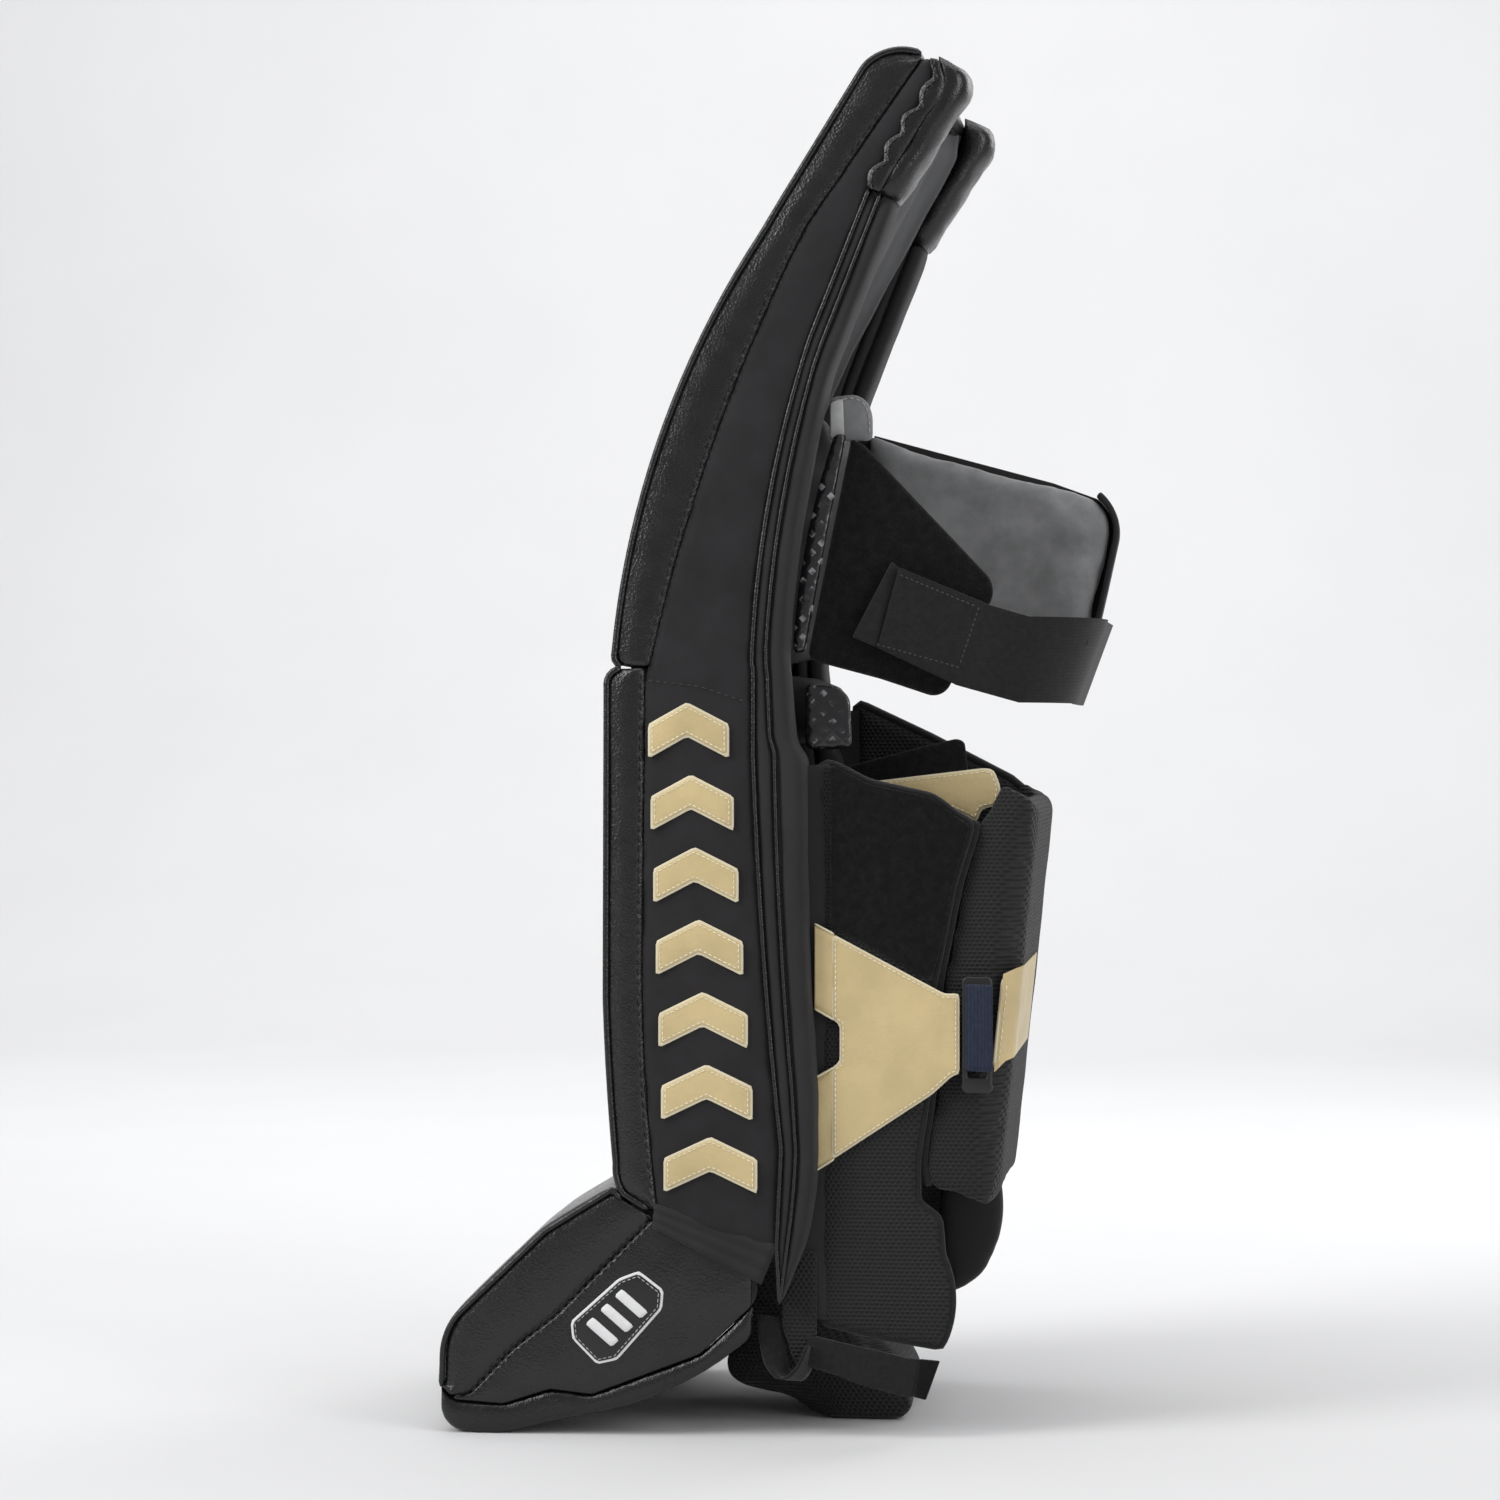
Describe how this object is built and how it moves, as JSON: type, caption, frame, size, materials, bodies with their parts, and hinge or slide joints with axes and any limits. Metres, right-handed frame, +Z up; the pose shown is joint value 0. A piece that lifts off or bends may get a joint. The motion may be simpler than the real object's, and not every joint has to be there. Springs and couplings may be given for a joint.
{
  "type": "goalie leg pad",
  "caption": "Ice hockey goalie leg pad with a flexing knee break and boot, edge rolls, calf and knee wings, and webbing straps with a ring buckle.",
  "frame": {"origin": "on the floor under the middle of the pad's box", "axes": "+Z up the leg, -X towards the face and toe, +X towards the leg, -Y the outer side of the leg"},
  "size_m": [0.4277, 0.281, 0.8817],
  "materials": {
    "black_leather": "soft satin grain",
    "black_nylon": "matte weave",
    "foam": "closed-cell foam",
    "grey_lining": "matte knit",
    "gold_leather": "satin grain",
    "grey_suede": "brushed microfibre",
    "black_loop": "fuzzy loop pile",
    "black_elastic": "ribbed elastic",
    "black_mesh": "open spacer mesh",
    "black_plastic": "moulded",
    "navy_web": "ribbed web",
    "badge": "gloss print on leather",
    "eyelet_metal": "brushed",
    "patterned_strip": "glossy with small diamonds"
  },
  "bodies": {
    "shin": {"shin_foam_core": "foam", "shin_face": "black_leather", "shin_outer_side": "black_nylon", "shin_inner_side": "black_nylon", "shin_outer_roll": "foam", "shin_inner_roll": "foam", "shin_outer_binding": "black_nylon", "shin_inner_binding": "black_nylon", "shin_lining": "grey_lining", "side_emblems": "gold_leather", "face_bars": "gold_leather", "calf_top_pad": "black_nylon", "heel_liner": "black_mesh", "heel_strap_anchor": "black_nylon", "hanging_loop": "black_elastic", "tongue_base": "black_loop"},
    "thigh": {"thigh_foam_core": "foam", "thigh_face": "black_leather", "thigh_outer_side": "black_nylon", "thigh_inner_side": "black_nylon", "thigh_outer_roll": "foam", "thigh_inner_roll": "foam", "thigh_outer_binding": "black_nylon", "thigh_inner_binding": "black_nylon", "thigh_outer_cap": "black_leather", "thigh_inner_cap": "black_leather", "thigh_lining": "grey_lining", "knee_cradle": "grey_lining", "knee_anchor_strip": "patterned_strip"},
    "boot": {"boot_foam_core": "foam", "boot_face": "black_leather", "boot_outer_side": "black_leather", "boot_inner_side": "black_leather", "boot_outer_wall": "foam", "boot_inner_wall": "foam", "boot_binding": "black_leather", "boot_badge": "badge", "toe_bridge": "black_plastic", "toe_tie_eyelets": "eyelet_metal"},
    "outer_wing": {"outer_wing_pad": "black_mesh", "outer_wing_loop_panel": "black_loop", "v_strap": "gold_leather"},
    "buckle": {"buckle_ring": "black_plastic", "buckle_web": "navy_web"},
    "inner_wing": {"inner_wing_pad": "black_mesh", "lower_calf_pad": "black_leather", "calf_wrap": "black_mesh", "calf_strap_tail": "gold_leather"},
    "calf_tongue": {"calf_tongue_flap": "black_loop", "upper_strap": "gold_leather"},
    "knee_wing": {"knee_wing_pad": "grey_suede", "knee_wing_binding": "black_elastic", "knee_wing_backing": "black_nylon"},
    "knee_strap": {"knee_strap": "black_elastic", "knee_strap_tab": "black_elastic"},
    "knee_flap": {"knee_flap": "black_loop"},
    "heel_strap": {"heel_strap": "black_elastic", "heel_strap_tab": "black_elastic"}
  },
  "joints": [
    {"name": "knee_flex", "type": "hinge", "parent": "shin", "child": "thigh", "pos_m": [0.022, 0, 0.4905], "axis": [0, 1, 0], "range_deg": [0, 10], "stiffness_Nm_per_rad": 4},
    {"name": "boot_flex", "type": "hinge", "parent": "shin", "child": "boot", "pos_m": [-0.071, 0, 0.139], "axis": [0, 1, 0], "range_deg": [-8, 0], "stiffness_Nm_per_rad": 6},
    {"name": "outer_wing_open", "type": "hinge", "parent": "shin", "child": "outer_wing", "pos_m": [0.03, -0.125, 0.25], "axis": [0, 0, 1], "range_deg": [-60, 0], "stiffness_Nm_per_rad": 0.2},
    {"name": "buckle_swing", "type": "hinge", "parent": "outer_wing", "child": "buckle", "pos_m": [0.12275, -0.128, 0.257], "axis": [0, 0, 1], "range_deg": [-80, 0]},
    {"name": "inner_wing_open", "type": "hinge", "parent": "shin", "child": "inner_wing", "pos_m": [0.03, 0.1245, 0.25], "axis": [0, 0, 1], "range_deg": [0, 60], "stiffness_Nm_per_rad": 0.3},
    {"name": "tongue_bend", "type": "hinge", "parent": "shin", "child": "calf_tongue", "pos_m": [0.0308, -0.0745, 0.4], "axis": [0, 0, 1], "range_deg": [0, 12], "stiffness_Nm_per_rad": 0.1},
    {"name": "knee_wing_open", "type": "hinge", "parent": "thigh", "child": "knee_wing", "pos_m": [0.038, 0.105, 0.57], "axis": [0, 0, 1], "range_deg": [0, 45], "stiffness_Nm_per_rad": 0.3},
    {"name": "knee_strap_open", "type": "hinge", "parent": "knee_wing", "child": "knee_strap", "pos_m": [0.206, 0.104, 0.5], "axis": [0, 0, 1], "range_deg": [0, 100], "stiffness_Nm_per_rad": 0.05},
    {"name": "knee_flap_open", "type": "hinge", "parent": "thigh", "child": "knee_flap", "pos_m": [0.033, -0.112, 0.567], "axis": [0.1988, 0, 0.98], "range_deg": [-25, 0]},
    {"name": "heel_strap_open", "type": "hinge", "parent": "shin", "child": "heel_strap", "pos_m": [0.03, -0.125, 0.05], "axis": [0, 0, 1], "range_deg": [-60, 0], "stiffness_Nm_per_rad": 0.05}
  ],
  "couplings": [
    {"joint": "knee_flap_open", "follows": "knee_strap_open", "ratio": -0.25}
  ]
}
